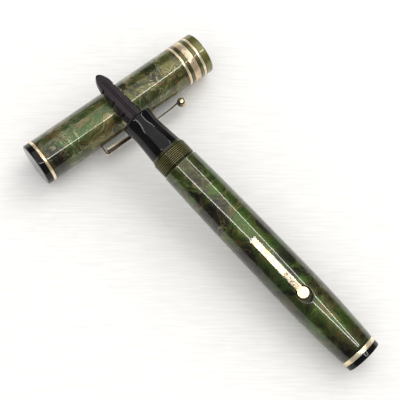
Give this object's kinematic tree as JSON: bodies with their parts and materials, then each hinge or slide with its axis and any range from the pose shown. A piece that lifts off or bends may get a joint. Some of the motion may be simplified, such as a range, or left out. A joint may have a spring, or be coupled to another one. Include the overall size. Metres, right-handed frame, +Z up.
{
  "type": "fountain pen",
  "caption": "Lever-filling fountain pen in marbled green resting across its own clipped, banded cap; the side lever swings up and presses the ink sac.",
  "frame": {"origin": "middle of the pen and cap together, on the table they lie on", "axes": "+X towards the nose of the pen, +Y along the cap towards its flat crown, +Z up from the table"},
  "size_m": [0.1136, 0.0628, 0.0205],
  "materials": {
    "green_celluloid": "polished marbled celluloid, green with bronze and cream flecks",
    "black_rubber": "polished black hard rubber",
    "feed_rubber": "satin hard rubber, faded towards brown",
    "gold_trim": "gold-filled, polished with light wear",
    "spring_steel": "bright spring steel",
    "sac_latex": "matte black latex"
  },
  "bodies": {
    "cap": {"cap_tube": "green_celluloid", "cap_crown": "black_rubber", "crown_ring": "gold_trim", "inner_cap": "black_rubber", "clip_backplate": "spring_steel", "upper_thin_band": "gold_trim", "wide_band": "gold_trim", "lower_thin_band": "gold_trim"},
    "clip": {"clip_strip": "gold_trim", "clip_ball": "gold_trim"},
    "pen": {"barrel": "green_celluloid", "end_ring": "gold_trim", "end_plug": "black_rubber", "section": "black_rubber", "feed": "feed_rubber", "ink_sac": "sac_latex", "lever_ring": "spring_steel", "bar_spring": "spring_steel"},
    "lever": {"lever": "gold_trim"},
    "press": {"pressure_bar": "spring_steel", "bar_rivet": "spring_steel"}
  },
  "joints": [
    {"name": "pen_lift", "type": "slide", "parent": "cap", "child": "pen", "axis": [0, 0, 1], "range_m": [0, 0.06]},
    {"name": "clip_flex", "type": "hinge", "parent": "cap", "child": "clip", "pos_m": [0.04249, 0.0119, 0.00534], "axis": [0.2419, 0, -0.9703], "range_deg": [0, 5], "stiffness_Nm_per_rad": 0.3},
    {"name": "lever_pivot", "type": "hinge", "parent": "pen", "child": "lever", "pos_m": [-0.01485, -0.00447, 0.01472], "axis": [-0.0813, 0.9735, -0.2136], "range_deg": [0, 85], "stiffness_Nm_per_rad": 0.0015},
    {"name": "bar_press", "type": "slide", "parent": "pen", "child": "press", "axis": [0.1221, -0.203, -0.9715], "range_m": [0, 0.00327], "deforming": ["ink_sac", "bar_spring"]}
  ],
  "couplings": [
    {"joint": "bar_press", "follows": "lever_pivot", "m_per_rad": 0.0022}
  ]
}
